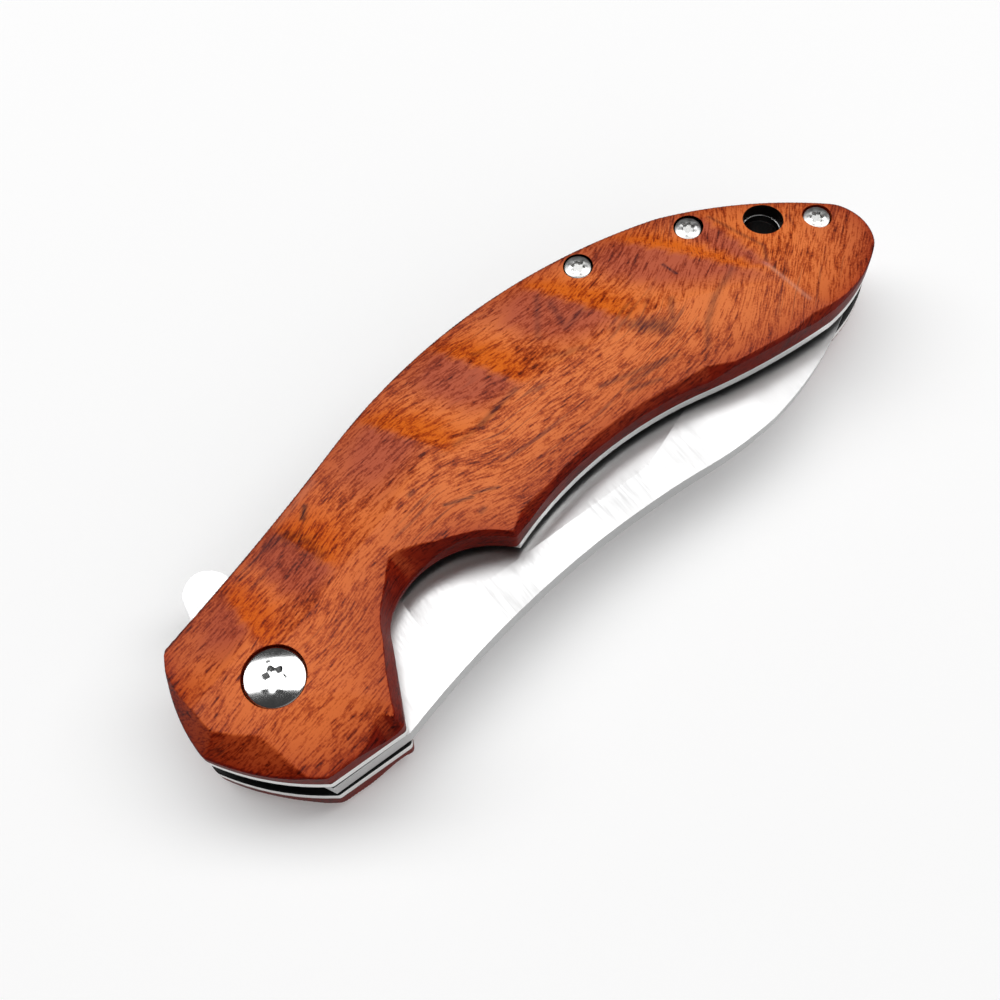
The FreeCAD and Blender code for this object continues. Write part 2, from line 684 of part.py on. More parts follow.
# Thrust bearings: a hardened race on each liner, and a cage of balls that rolls in the tang's recess.
BALL_DIAMETER = ("((Sizes.blade_slot - Sizes.blade_thickness) / 2 + Sizes.bearing_recess"
                 " - Sizes.race_thickness - 2 * Sizes.ball_clearance)")
BALL_Z = f"{SLOT_Z} + Sizes.race_thickness + Sizes.ball_clearance + {BALL_DIAMETER} / 2"
BALL_ORBIT = "(Sizes.bearing_outer_radius + Sizes.bearing_inner_radius) / 2"

rear_bearing_race = ring("rear_bearing_race", "Sizes.bearing_outer_radius", "Sizes.bearing_inner_radius",
                         "Sizes.race_thickness")
at_pivot(rear_bearing_race, SLOT_Z)
front_bearing_race = mirrored(rear_bearing_race, "front_bearing_race")

rear_bearing_cage = ring("rear_bearing_cage", "Sizes.bearing_outer_radius", "Sizes.bearing_inner_radius",
                         "Sizes.cage_thickness")
first_hole = holes(rear_bearing_cage, "cage_hole", [(BALL_ORBIT, STRAIGHT)],
                   f"{BALL_DIAMETER} / 2 + Sizes.ball_clearance")
cage_holes = rear_bearing_cage.newObject("PartDesign::PolarPattern", "cage_holes")
cage_holes.Originals = [first_hole]
cage_holes.Axis = (plane(rear_bearing_cage, "Z_Axis"), [""])
cage_holes.Angle = 360
cage_holes.setExpression("Occurrences", "Sizes.ball_count")
rear_bearing_cage.Tip = cage_holes
at_pivot(rear_bearing_cage, f"{BALL_Z} - Sizes.cage_thickness / 2")
doc.recompute()
front_bearing_cage = mirrored(rear_bearing_cage, "front_bearing_cage")

balls = []
for number in range(int(size("ball_count"))):
    angle = f"{number} * 360 / Sizes.ball_count"
    centre = pivot_point(f"{BALL_ORBIT} * cos({angle})", f"{BALL_ORBIT} * sin({angle})", BALL_Z)
    balls.append(Part.makeSphere(value(BALL_DIAMETER) / 2, centre))
rear_bearing_balls = group("rear_bearing_balls", balls)
front_bearing_balls = mirrored(rear_bearing_balls, "front_bearing_balls")

# Backspacer along the butt, flush with the liners, and the threaded sleeves that pass through it.
# The region keeps its inner side clear of the folded blade: x share and y share of each corner.
BACKSPACER_REGION_SHARES = [
    (0.508, 0.522),
    (0.677, 0.413),
    (0.7645, 0.2355),
    (0.832, 0.151),
    (0.95, 0.122),
    (0.95, 1.1),
    (0.508, 1.1),
]
SLEEVE_RADIUS = "Sizes.screw_shank_radius + Sizes.seat_clearance + Sizes.sleeve_wall"

spacer_blank = handle_prism("spacer_blank", "Sizes.blade_slot")
holes(spacer_blank, "spacer_sleeve_holes", SCREW_PLACES, f"{SLEEVE_RADIUS} + Sizes.seat_clearance")
holes(spacer_blank, "spacer_lanyard_hole", [LANYARD_PLACE], "Sizes.lanyard_radius")
at_pivot(spacer_blank, SLOT_Z)
spacer_plate = new_body("spacer_plate")
spacer_region = new_sketch(spacer_plate, "spacer_region")
draw_outline(spacer_region, [(along(x), across(y), STRAIGHT) for x, y in BACKSPACER_REGION_SHARES])
pad(spacer_plate, spacer_region, "Sizes.blade_slot")
at_pivot(spacer_plate, SLOT_Z)
backspacer = boolean("Common", "backspacer", spacer_blank, spacer_plate)

sleeve = ring("sleeve", SLEEVE_RADIUS, "Sizes.screw_shank_radius + Sizes.seat_clearance", "Sizes.blade_slot")
body_screw = domed_screw(
    "body_screw", "Sizes.screw_head_radius", "Sizes.screw_head_rim", "Sizes.screw_head_dome",
    "Sizes.screw_shank_radius", "Sizes.screw_seat + Sizes.liner_thickness + Sizes.screw_reach",
    "Sizes.screw_drive_radius", "Sizes.screw_drive_depth")

spacer_sleeves = group("spacer_sleeves", [
    sleeve.Shape.translated(pivot_point(x, y, SLOT_Z)) for x, y in SCREW_PLACES])
front_body_screws = group("front_body_screws", [
    body_screw.Shape.translated(pivot_point(x, y, FRONT_SCALE_Z + " + Sizes.screw_seat"))
    for x, y in SCREW_PLACES])
rear_body_screws = mirrored(front_body_screws, "rear_body_screws")

doc.recompute()

PIECES = [
    front_scale, rear_scale, front_liner, lock_liner, lock_bar, detent_ball, blade, stop_pin, pivot_barrel,
    front_pivot_screw, rear_pivot_screw, front_bearing_race, front_bearing_cage, front_bearing_balls,
    rear_bearing_race, rear_bearing_cage, rear_bearing_balls, backspacer, spacer_sleeves,
    front_body_screws, rear_body_screws,
]

for item in doc.Objects:
    if "Invalid" in item.State or "Error" in item.State:
        raise RuntimeError(f"{item.Label} failed: {item.State}")
for piece in PIECES:
    if piece.Shape.isNull() or not piece.Shape.isValid():
        raise RuntimeError(f"{piece.Label} has no valid shape")

os.makedirs("parts", exist_ok=True)
for piece in PIECES:
    piece.Shape.exportStep(f"parts/{piece.Label}.step")
    print(f"{piece.Label}: {len(piece.Shape.Solids)} solid(s), {piece.Shape.Volume:.1f} mm3")

box = Part.makeCompound([piece.Shape for piece in PIECES]).optimalBoundingBox()
print(f"size {box.XLength:.2f} x {box.YLength:.2f} x {box.ZLength:.2f}, middle {box.Center.x:.3f}, {box.Center.y:.3f},"
      f" bottom {box.ZMin:.3f}")
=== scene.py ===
import math
import bpy
import numpy as np
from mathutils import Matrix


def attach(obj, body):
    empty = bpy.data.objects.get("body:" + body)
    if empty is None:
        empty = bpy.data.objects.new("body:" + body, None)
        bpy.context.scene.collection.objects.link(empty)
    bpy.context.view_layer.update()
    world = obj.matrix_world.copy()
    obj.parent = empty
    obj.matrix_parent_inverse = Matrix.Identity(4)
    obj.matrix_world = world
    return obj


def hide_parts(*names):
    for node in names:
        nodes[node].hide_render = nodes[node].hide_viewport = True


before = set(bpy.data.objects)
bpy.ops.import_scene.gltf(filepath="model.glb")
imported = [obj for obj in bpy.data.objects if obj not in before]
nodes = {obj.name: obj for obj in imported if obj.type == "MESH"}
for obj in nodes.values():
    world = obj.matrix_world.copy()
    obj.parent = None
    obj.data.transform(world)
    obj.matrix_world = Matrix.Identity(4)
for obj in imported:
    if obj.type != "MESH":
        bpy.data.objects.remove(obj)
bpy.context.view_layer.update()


# Liners and lock bar. Two stamped steel side plates, satin on their faces and polished along their edges;
# the lock bar is a sprung tongue cut out of the far one. They carry everything else of the handle.
def add_node(tree, kind, inputs=None, **settings):
    """One shader node. An input that is a socket is linked, any other value is set on the input itself."""
    made = tree.nodes.new(kind)
    for name, setting in settings.items():
        setattr(made, name, setting)
    for name, given in (inputs or {}).items():
        if isinstance(given, bpy.types.NodeSocket):
            tree.links.new(given, made.inputs[name])
        else:
            made.inputs[name].default_value = given
    return made


def new_finish(name, colour, metallic, roughness):
    """A material with one Principled shader, as (material, node tree, shader, object coordinates)."""
    material = bpy.data.materials.new(name)
    material.use_nodes = True
    tree = material.node_tree
    shader = tree.nodes["Principled BSDF"]
    shader.inputs["Base Color"].default_value = (*colour, 1.0)
    shader.inputs["Metallic"].default_value = metallic
    shader.inputs["Roughness"].default_value = roughness
    coordinates = tree.nodes.new("ShaderNodeTexCoord").outputs["Object"]
    return material, tree, shader, coordinates


def calc(tree, operation, *numbers):
    """Socket of one Math node over sockets and plain numbers."""
    return add_node(tree, "ShaderNodeMath", dict(enumerate(numbers)), operation=operation).outputs["Value"]


def spread(tree, socket, low, high, to_low=0.0, to_high=1.0):
    """A socket's range from low to high, spread over another range and clipped."""
    return add_node(tree, "ShaderNodeMapRange", {"Value": socket, "From Min": low, "From Max": high,
                                                 "To Min": to_low, "To Max": to_high}).outputs["Result"]


def noise(tree, vector, scale, detail):
    """Socket of a noise texture, from 0 to 1."""
    texture = add_node(tree, "ShaderNodeTexNoise", {"Vector": vector, "Scale": scale, "Detail": detail})
    return texture.outputs["Fac"]


def tinted(tree, colour, tint, amount):
    """A colour, as a socket or with its alpha, that turns into a tint as far as the amount says."""
    return add_node(tree, "ShaderNodeMix", {"Factor": amount, 6: colour, 7: (*tint, 1.0)},
                    data_type="RGBA").outputs[2]


def bumped(tree, shader, height, strength, distance):
    """Relief of the shader's surface from a socket, with the height of its full range in metres."""
    bump = add_node(tree, "ShaderNodeBump", {"Height": height, "Strength": strength, "Distance": distance})
    tree.links.new(bump.outputs["Normal"], shader.inputs["Normal"])


def normal_parts(tree):
    """The surface's normal along X, Y and Z of the object."""
    normal = tree.nodes["Texture Coordinate"].outputs["Normal"]
    return add_node(tree, "ShaderNodeSeparateXYZ", {"Vector": normal}).outputs


def brushed_steel(name, colour, roughness, strokes, depth):
    """Steel with fine brush strokes: noise squeezed across the strokes varies the roughness and the bump.
    strokes is the number of noise cells per metre along X, Y and Z."""
    material, tree, shader, coordinates = new_finish(name, colour, 1.0, roughness)
    stretched = add_node(tree, "ShaderNodeMapping", {"Vector": coordinates, "Scale": strokes})
    grain = noise(tree, stretched.outputs["Vector"], 1.0, 3.0)
    clouds = noise(tree, coordinates, 90.0, 3.0)
    mixed = calc(tree, "MULTIPLY", grain, clouds)
    varied = spread(tree, mixed, 0.1, 0.45, roughness * 0.75, roughness * 1.3)
    tree.links.new(varied, shader.inputs["Roughness"])
    bumped(tree, shader, grain, depth, 0.00002)
    return material


def dress(node_name, material):
    """Gives a node of the frame its one material."""
    nodes[node_name].data.materials.clear()
    nodes[node_name].data.materials.append(material)


PIVOT = np.array([-48.434, -7.2495])
LANYARD_PLACE = np.array([97.891, 15.103])
LINER_COLOUR = (0.78, 0.78, 0.77)
SLOT_AND_HOLE_SHADE = (0.03, 0.03, 0.03)
liner_steel = brushed_steel("liner_steel", LINER_COLOUR, 0.4, (300.0, 4000.0, 4000.0), 0.3)
# Their faces and the wall of the lanyard hole are painted black, as painted shade for the dark blade slot and the
# inside of the hole, but for a bright line at the hole's upper rim, which lies 12.5 mm up. The other edges are
# polished bright and a little rounded.
tree = liner_steel.node_tree
coordinates = tree.nodes["Texture Coordinate"].outputs["Object"]
face = spread(tree, calc(tree, "ABSOLUTE", normal_parts(tree)["Z"]), 0.6, 0.8)
from_hole = add_node(tree, "ShaderNodeMapping", {
    "Vector": coordinates, "Scale": (1000.0, 1000.0, 0.0), "Location": (*-(PIVOT + LANYARD_PLACE), 0.0)})
from_hole = add_node(tree, "ShaderNodeVectorMath", {0: from_hole.outputs["Vector"]}, operation="LENGTH")
in_hole = spread(tree, from_hole.outputs["Value"], 3.2, 3.1)
level = add_node(tree, "ShaderNodeSeparateXYZ", {"Vector": coordinates})
rim = calc(tree, "MULTIPLY", spread(tree, level.outputs["Z"], 0.01248, 0.01252), in_hole)
face = calc(tree, "SUBTRACT", calc(tree, "MAXIMUM", face, in_hole), rim)
shader = tree.nodes["Principled BSDF"]
# Painted shade: the faces and the hole's wall below its rim are coloured black.
tree.links.new(tinted(tree, (*LINER_COLOUR, 1.0), SLOT_AND_HOLE_SHADE, face), shader.inputs["Base Color"])
rounded_edge = add_node(tree, "ShaderNodeBevel", {"Radius": 0.0005}, samples=6)
tree.links.new(rounded_edge.outputs["Normal"], tree.nodes["Bump"].inputs["Normal"])
for node_name in ("front_liner", "lock_liner", "lock_bar"):
    dress(node_name, liner_steel)

# Pivot. A hardened barrel, two ground races and two brass cages of steel balls, and the pin that stops the
# swing. They are turned and ground pieces, almost out of sight between the liners.
ground_steel = brushed_steel("ground_steel", (0.70, 0.70, 0.70), 0.25, (2500.0, 2500.0, 300.0), 0.2)
for node_name in ("pivot_barrel", "front_bearing_race", "rear_bearing_race", "stop_pin", "spacer_sleeves"):
    dress(node_name, ground_steel)
ball_steel = brushed_steel("ball_steel", (0.85, 0.85, 0.86), 0.06, (900.0, 900.0, 900.0), 0.05)
for node_name in ("front_bearing_balls", "rear_bearing_balls", "detent_ball"):
    dress(node_name, ball_steel)
cage_brass = brushed_steel("cage_brass", (0.72, 0.50, 0.20), 0.3, (1500.0, 1500.0, 1500.0), 0.2)
for node_name in ("front_bearing_cage", "rear_bearing_cage"):
    dress(node_name, cage_brass)

# Blade. Ground from one bar of stainless steel, with its tang and its flipper tab. Its faces are satin
# finished, with strokes from spine to edge. The spine and the other narrow edges are left as ground, and they
# are painted a little darker as painted shade.
BLADE_COLOUR = (0.68, 0.68, 0.68)
BLADE_EDGE_SHADE = (0.54, 0.54, 0.54)
blade_steel = brushed_steel("blade_steel", BLADE_COLOUR, 0.45, (12000.0, 200.0, 4000.0), 0.15)
tree = blade_steel.node_tree
shader = tree.nodes["Principled BSDF"]
# Painted shade: faces that stand upright, the spine and the edges, are coloured darker.
narrow_edge_shade = spread(tree, calc(tree, "ABSOLUTE", normal_parts(tree)["Z"]), 0.5, 0.3)
tree.links.new(tinted(tree, (*BLADE_COLOUR, 1.0), BLADE_EDGE_SHADE, narrow_edge_shade), shader.inputs["Base Color"])
# The strokes draw a reflection out along the blade, across themselves.
drawn = add_node(tree, "ShaderNodeVectorMath", {
    0: tree.nodes["Texture Coordinate"].outputs["Normal"], 1: (0.0, 1.0, 0.3)}, operation="CROSS_PRODUCT")
drawn = add_node(tree, "ShaderNodeVectorTransform", {"Vector": drawn.outputs["Vector"]}, vector_type="VECTOR",
                 convert_from="OBJECT", convert_to="WORLD")
tree.links.new(drawn.outputs["Vector"], shader.inputs["Tangent"])
shader.inputs["Anisotropic"].default_value = 0.82
dress("blade", blade_steel)

# Backspacer. A black moulded bar between the liners along the butt, which keeps them apart. Its surface is
# finely pebbled and matt.
spacer_black, tree, shader, coordinates = new_finish("spacer_black", (0.012, 0.012, 0.013), 0.0, 0.45)
bumped(tree, shader, noise(tree, coordinates, 4000.0, 2.0), 0.3, 0.00003)
dress("backspacer", spacer_black)

# Scales. Two pieces of figured red-brown hardwood, sawn to the liners' outline, carved in hollow scallops
# along both edges and polished. Each is counterbored for the pivot screw and the body screws.
THICKNESS = 17.0
SCALE_THICKNESS = 4.4
SCREW_PLACES = np.array([[71.179, 26.197], [88.441, 21.211], [104.743, 10.63]])
# Corners from the pivot axis in millimetres: x, y and the radius of the stretch that leaves the corner,
# positive where it bends to the left.
HANDLE_CORNERS = [
    (-1.897, -15.102, 0), (9.895, -15.35, 0), (15.302, -4.41, -7.006), (18.203, -0.702, -14.198),
    (36.902, -3.6, -62.992), (71.994, -0.779, 115.32), (94.996, -3.452, 24.8), (108.599, 1.998, 6.597),
    (108.054, 11.3, 69.44), (85.796, 25.7, 95.48), (24.304, 23.702, -395.56), (-9.796, 12.852, 26.04),
    (-13.305, -2.502, 38.006)]
OUTLINE_STEP = 0.05
OUTLINE_SOFTNESS = 0.45
# Ridges between the scallops of the back edge: x and y of the end at the edge, heading inwards in degrees, and
# depth and reach of the scallop that follows. The first and the last lie off the wood.
RIDGES = np.array([
    (-15.5, 8.0, -50, 0.6, 9.0), (1.0, 14.5, -90, 0.8, 13.0), (11.6, 17.6, -72, 0.9, 13.0),
    (30.5, 24.8, -62, 0.85, 16.0), (46.2, 26.8, -65, 0.85, 16.0), (63.8, 25.9, -63, 0.8, 16.0),
    (78.7, 26.0, -57, 0.6, 13.0), (91.2, 20.6, -84, 0.15, 12.0), (112.0, 12.0, -100, 0.0, 12.0)])
# The back falls towards its edge. Beyond the pivot end the edge is taken on with this heading.
BACK_FALL, BACK_REACH = 2.1, 15.0
BACK_HEADING = math.radians(20.0)
BACK_OVERRUN = 12.0
# Bevels filed along the edge from the back corner of the pivot end by the front edge to the butt: x and y on the
# edge, width, and wall left below the bevel. A wall beyond the thickness leaves the edge as it is.
BEVELS = np.array([
    (-9.8, 12.9, 0.9, 2.8), (-10.6, 11.4, 1.2, 2.6), (-11.75, 8.75, 2.0, 1.7), (-12.7, 5.4, 2.5, 1.4),
    (-13.3, 1.8, 2.8, 1.3), (-13.4, -0.6, 3.0, 1.4), (-11.8, -5.0, 3.6, 1.9), (-9.1, -8.6, 4.6, 1.9),
    (-7.3, -10.5, 4.2, 2.1), (-5.5, -12.2, 2.9, 2.4), (-3.25, -14.1, 1.3, 3.2), (-0.5, -15.1, 0.5, 4.0),
    (4.35, -15.2, 1.1, 2.6), (7.0, -15.3, 2.9, 1.6), (8.5, -15.3, 2.7, 1.6), (9.6, -15.35, 1.6, 2.4),
    (10.7, -13.7, 1.1, 2.0), (13.0, -9.0, 1.2, 1.2), (15.3, -4.41, 0.9, 0.8), (16.5, -2.2, 0.9, 0.8),
    (17.8, -1.0, 1.1, 0.8), (19.8, 0.2, 1.8, 0.8), (21.3, 0.8, 2.8, 0.8), (22.35, 1.1, 3.5, 0.8),
    (23.6, 1.4, 3.0, 0.9), (25.2, 1.57, 2.1, 1.4), (27.7, 1.5, 0.9, 2.4), (31.0, 0.7, 0.5, 3.5),
    (36.9, -3.6, 0.5, 3.6), (40.0, -2.3, 1.4, 2.8), (45.0, -1.0, 0.8, 3.3), (50.9, -0.05, 0.8, 3.3),
    (55.4, 0.4, 1.2, 2.9), (62.3, 0.44, 1.1, 3.0), (68.6, -0.18, 1.1, 3.0), (72.0, -0.8, 1.4, 2.8),
    (73.7, -1.15, 1.6, 2.7), (75.3, -1.46, 1.1, 3.1), (77.7, -1.9, 0.4, 3.8), (88.3, -3.15, 0.4, 3.8),
    (91.7, -3.35, 1.0, 3.2), (94.7, -3.45, 0.6, 3.4), (100.0, -2.5, 0.5, 3.0), (108.6, 2.0, 0.4, 1.9),
    (108.05, 11.3, 0.5, 6.0)])
BEVEL_START = np.array([-9.0, 13.2])
# The far scale is filed away further along the front of the butt.
REAR_BEVELS = BEVELS.copy()
REAR_BEVELS[(BEVELS[:, 0] > 74.0) & (BEVELS[:, 1] < 3.0), 2:] = (2.2, 0.4)
# Flats filed across the butt and the front corner: x and y of the foot, heading inwards in degrees, wall left at
# the edge, slope in degrees and radius of the hollow.
FILED = [(109.5, 5.0, 172, 1.85, 8.7, 90), (-1.9, -15.1, 75, 2.9, 8, 90)]
FILED_OVERRUN = 6.0
OUT_OF_REACH = 99.0
RIDGE_SOFTNESS = 0.12
RIM_ROUND = 0.3
COLUMNS = 560
ROWS = 120


def sampled_outline(corners, step):
    """Points along straight and round stretches between corners. On a round stretch the centre lies off the
    middle of the chord, on the side that it bends to, and the points turn about it from corner to corner."""
    runs = []
    for (x, y, bend), (x_next, y_next, _) in zip(corners, corners[1:] + corners[:1]):
        start, end = np.array([x, y]), np.array([x_next, y_next])
        chord = end - start
        length = np.hypot(*chord)
        share = np.linspace(0, 1, max(2, int(length / step)), endpoint=False)[:, None]
        if bend == 0:
            runs.append(start + share * chord)
            continue
        to_left = np.array([-chord[1], chord[0]]) / length
        centre = (start + end) / 2 + to_left * math.copysign(math.sqrt(bend ** 2 - length ** 2 / 4), bend)
        turn = math.copysign(2 * math.asin(length / 2 / abs(bend)), bend)
        angle = math.atan2(*(start - centre)[::-1]) + share * turn
        runs.append(centre + abs(bend) * np.hstack([np.cos(angle), np.sin(angle)]))
    return np.vstack(runs)


def softened(outline, softness):
    """The closed outline blurred along its length, which rounds its corners: each wave of it is weakened by a
    bell curve of the wave number."""
    length = np.hypot(*np.diff(outline, axis=0, append=outline[:1]).T)
    travelled = np.concatenate([[0], np.cumsum(length)])
    even = np.linspace(0, travelled[-1], 2 ** 13, endpoint=False)
    closed = np.vstack([outline, outline[:1]])
    points = np.stack([np.interp(even, travelled, closed[:, k]) for k in (0, 1)], 1)
    waves = np.fft.fftfreq(len(points), travelled[-1] / len(points)) * 2 * np.pi
    weakened = np.fft.fft(points, axis=0) * np.exp(-(waves * softness) ** 2 / 2)[:, None]
    return np.real(np.fft.ifft(weakened, axis=0))


def handle_edge():
    """The outline of the scales as they are drawn here, with its corners rounded."""
    return softened(sampled_outline(HANDLE_CORNERS, OUTLINE_STEP), OUTLINE_SOFTNESS)


def soft_least(a, b, softness):
    """The lesser of two heights, with the ridge between them rounded over twice the softness."""
    near = np.clip(0.5 + 0.5 * (b - a) / softness, 0, 1)
    return b * (1 - near) + a * near - softness * near * (1 - near)


def edge_distance(x, y, edge):
    """Least distance of each point from the points of an edge and the number of that point, worked out a slice at
    a time."""
    points = np.stack([x.ravel(), y.ravel()], 1).astype(np.float32)
    edge = edge.astype(np.float32)
    least, nearest = [], []
    for part in np.array_split(points, 64):
        apart = ((part[:, None] - edge) ** 2).sum(2)
        nearest.append(apart.argmin(1))
        least.append(np.sqrt(apart.min(1)))
    return np.concatenate(least).astype(float).reshape(x.shape), np.concatenate(nearest).reshape(x.shape)


def scalloped_height(x, y, from_back):
    """Height along the back edge: it falls to the edge in a power curve, and each point between two ridges lies
    below that by the scallop's depth. Across a scallop the depth is a cubic of the share of the way from
    ridge to ridge, steeper after the first one, and along it half a sine wave from the edge inwards."""
    foot_x, foot_y, heading, depth, reach = RIDGES.T
    heading = np.radians(heading)
    past = (x[..., None] - foot_x) * -np.sin(heading) + (y[..., None] - foot_y) * np.cos(heading)
    number = np.clip((past > 0).sum(-1) - 1, 0, len(RIDGES) - 2)
    after = np.take_along_axis(past, number[..., None], -1)[..., 0]
    before = -np.take_along_axis(past, number[..., None] + 1, -1)[..., 0]
    share = np.clip(after / np.maximum(after + before, 0.01), 0, 1)
    across = share * (1 - share) * (2.2 - 1.2 * share) / 0.4
    along = np.sin(np.pi * np.clip(from_back / reach[number], 0, 1)) ** 0.8
    fall = BACK_FALL * np.clip(1 - from_back / BACK_REACH, 0, 1) ** 1.6
    return SCALE_THICKNESS - fall - depth[number] * across * along


def from_back_edge(x, y):
    """Distance from the back edge, which is taken on in a straight line beyond the pivot end."""
    columns, _, back = handle_columns(COLUMNS)
    corner = np.array(HANDLE_CORNERS[-2][:2])
    edge = np.stack([columns, back], 1)[columns > corner[0]]
    reach = np.linspace(0, BACK_OVERRUN, 60)[:, None]
    heading = np.array([math.cos(BACK_HEADING), math.sin(BACK_HEADING)])
    return edge_distance(x, y, np.vstack([edge, corner - reach * heading]))[0]


def scallop_dip(x, y, least, most):
    """Share of the way from the least to the most steep dip of the scallops along the handle. The dip is a
    difference over a small step, and its share is the mean over places along the handle, on a line that wavers
    by two sines."""
    from_back = from_back_edge(x, y)
    step = 0.2
    wavering = x + 0.3 * np.sin(2.1 * y) + 0.2 * np.sin(4.7 * y + 1)
    shares = []
    for offset in np.linspace(-0.7, 0.7, 7):
        before, after = [scalloped_height(wavering + offset + way * step, y, from_back) for way in (-1, 1)]
        shares.append(np.clip(((before - after) / (2 * step) - least) / (most - least), 0, 1))
    return np.mean(shares, 0)


def carved_height(x, y, from_back, edge, bevels):
    """Height of the carved face: the least of the scalloped back, of the bevels and of every filed flat. A bevel
    rises straight from its wall to the full thickness over its width, both read off its table at the nearest
    point of the edge. A flat rises from its wall with its slope along its heading, and with its round
    cross-section to both sides."""
    height = scalloped_height(x, y, from_back)
    inset, nearest = edge_distance(x, y, edge)
    stations = edge_distance(bevels[:, 0], bevels[:, 1], edge)[1]
    width, wall = [np.interp(nearest, stations, column) for column in bevels.T[2:]]
    wall = np.where((nearest < stations[0]) | (nearest > stations[-1]), OUT_OF_REACH, wall)
    bevel = wall + (SCALE_THICKNESS - np.minimum(wall, SCALE_THICKNESS)) * inset / width
    height = soft_least(height, bevel, RIDGE_SOFTNESS)
    for foot_x, foot_y, heading, wall, slope, radius in FILED:
        ahead = np.array([math.cos(math.radians(heading)), math.sin(math.radians(heading))])
        inward = (x - foot_x) * ahead[0] + (y - foot_y) * ahead[1]
        sideways = np.clip((x - foot_x) * ahead[1] - (y - foot_y) * ahead[0], -radius * 0.98, radius * 0.98)
        rise = math.tan(math.radians(slope))
        hollow = wall + inward * rise + (radius - np.sqrt(radius ** 2 - sideways ** 2)) * math.hypot(1, rise)
        height = soft_least(height, np.where(inward > -FILED_OVERRUN, hollow, OUT_OF_REACH), RIDGE_SOFTNESS)
    return height


def new_piece(name, points, faces, material):
    """A smooth-shaded mesh object from points in millimetres, which are stored in metres."""
    mesh = bpy.data.meshes.new(name)
    mesh.from_pydata(np.asarray(points) * 0.001, [], faces)
    mesh.validate()
    mesh.polygons.foreach_set("use_smooth", np.ones(len(mesh.polygons), bool))
    mesh.materials.append(material)
    piece = bpy.data.objects.new(name, mesh)
    bpy.context.scene.collection.objects.link(piece)
    return piece


def grid_faces(rows, columns, first=0):
    """Quads between neighbouring rows and columns of a grid of points."""
    corner = first + np.arange(rows - 1)[:, None] * columns + np.arange(columns - 1)
    return np.stack([corner, corner + 1, corner + columns + 1, corner + columns], -1).reshape(-1, 4).tolist()


def handle_columns(columns):
    """x, front y and back y of upright lines across the handle, closer together where an edge is steep."""
    outline = handle_edge()
    left, right = outline[:, 0].argmin(), outline[:, 0].argmax()
    loop = np.roll(outline, -left, axis=0)
    turn = (right - left) % len(outline)
    front, back = loop[:turn + 1], np.vstack([loop[turn:], loop[:1]])[::-1]
    fine = np.linspace(front[0, 0] + 0.01, front[-1, 0] - 0.01, 20000)
    edges = [np.interp(fine, np.maximum.accumulate(side[:, 0]), side[:, 1]) for side in (front, back)]
    steepness = np.maximum(*[np.abs(np.gradient(edge, fine)) for edge in edges])
    travelled = np.cumsum(np.hypot(1, np.minimum(steepness, 30)))
    x = np.interp(np.linspace(travelled[0], travelled[-1], columns), travelled, fine)
    return x, np.interp(x, fine, edges[0]), np.interp(x, fine, edges[1])


def round_cutter(places, profile):
    """Turned solids for drilling: a profile of radius and height carried round an axis at each place."""
    turns = 96
    angle = np.arange(turns) * 2 * np.pi / turns
    radius, height = np.array(profile).T
    ring = np.stack([np.outer(radius, np.cos(angle)), np.outer(radius, np.sin(angle)),
                     np.repeat(height[:, None], turns, 1)], -1).reshape(-1, 3)
    level = np.arange(len(radius) - 1)[:, None] * turns + np.arange(turns)
    after = np.arange(len(radius) - 1)[:, None] * turns + (np.arange(turns) + 1) % turns
    walls = np.stack([level, after, after + turns, level + turns], -1).reshape(-1, 4)
    bottom, top = np.arange(turns)[::-1], np.arange(turns) + (len(radius) - 1) * turns
    points, faces = [], []
    for number, place in enumerate(places):
        points.append(ring + np.array([*place, 0.0]))
        faces += [list(face) for face in [*(walls + number * len(ring)), bottom + number * len(ring),
                                          top + number * len(ring)]]
    return np.vstack(points), faces


def carved_scale(bevels):
    """One scale, from its inner face: the carved height over upright lines across the outline, dropped in a
    quarter round at the rim, with straight walls and a flat inner face."""
    x, front, back = handle_columns(COLUMNS)
    share = 0.5 - 0.5 * np.cos(np.linspace(0, np.pi, ROWS))
    share = 0.6 * share + 0.4 * np.linspace(0, 1, ROWS)
    grid_x = np.repeat(x[:, None], ROWS, 1)
    grid_y = front[:, None] + (back - front)[:, None] * share
    edge = handle_edge()
    start = np.hypot(*(edge - BEVEL_START).T).argmin()
    edge = np.roll(edge, -start, axis=0)[::3]
    from_back = from_back_edge(grid_x, grid_y)
    inset = edge_distance(grid_x, grid_y, edge)[0]
    short = np.clip(RIM_ROUND - inset, 0, RIM_ROUND)
    height = carved_height(grid_x, grid_y, from_back, edge, bevels)
    height -= RIM_ROUND - np.sqrt(RIM_ROUND ** 2 - short ** 2)
    top = np.stack([grid_x, grid_y, height], -1).reshape(-1, 3)
    foot = np.vstack([np.stack([x, front, 0 * x], 1), np.stack([x, back, 0 * x], 1)])
    faces = grid_faces(COLUMNS, ROWS)
    line = np.arange(COLUMNS - 1)
    low_front, low_back = len(top) + np.arange(COLUMNS), len(top) + COLUMNS + np.arange(COLUMNS)
    faces += np.stack([line * ROWS, low_front[line], low_front[line + 1], (line + 1) * ROWS], 1).tolist()
    faces += np.stack([line * ROWS + ROWS - 1, (line + 1) * ROWS + ROWS - 1, low_back[line + 1], low_back[line]],
                      1).tolist()
    faces += np.stack([low_front[line], low_back[line], low_back[line + 1], low_front[line + 1]], 1).tolist()
    faces.append([*range(ROWS), low_back[0], low_front[0]][::-1])
    faces.append([*range((COLUMNS - 1) * ROWS, COLUMNS * ROWS), low_back[-1], low_front[-1]])
    faces = [face[::-1] for face in faces]
    return np.vstack([top, foot]), faces


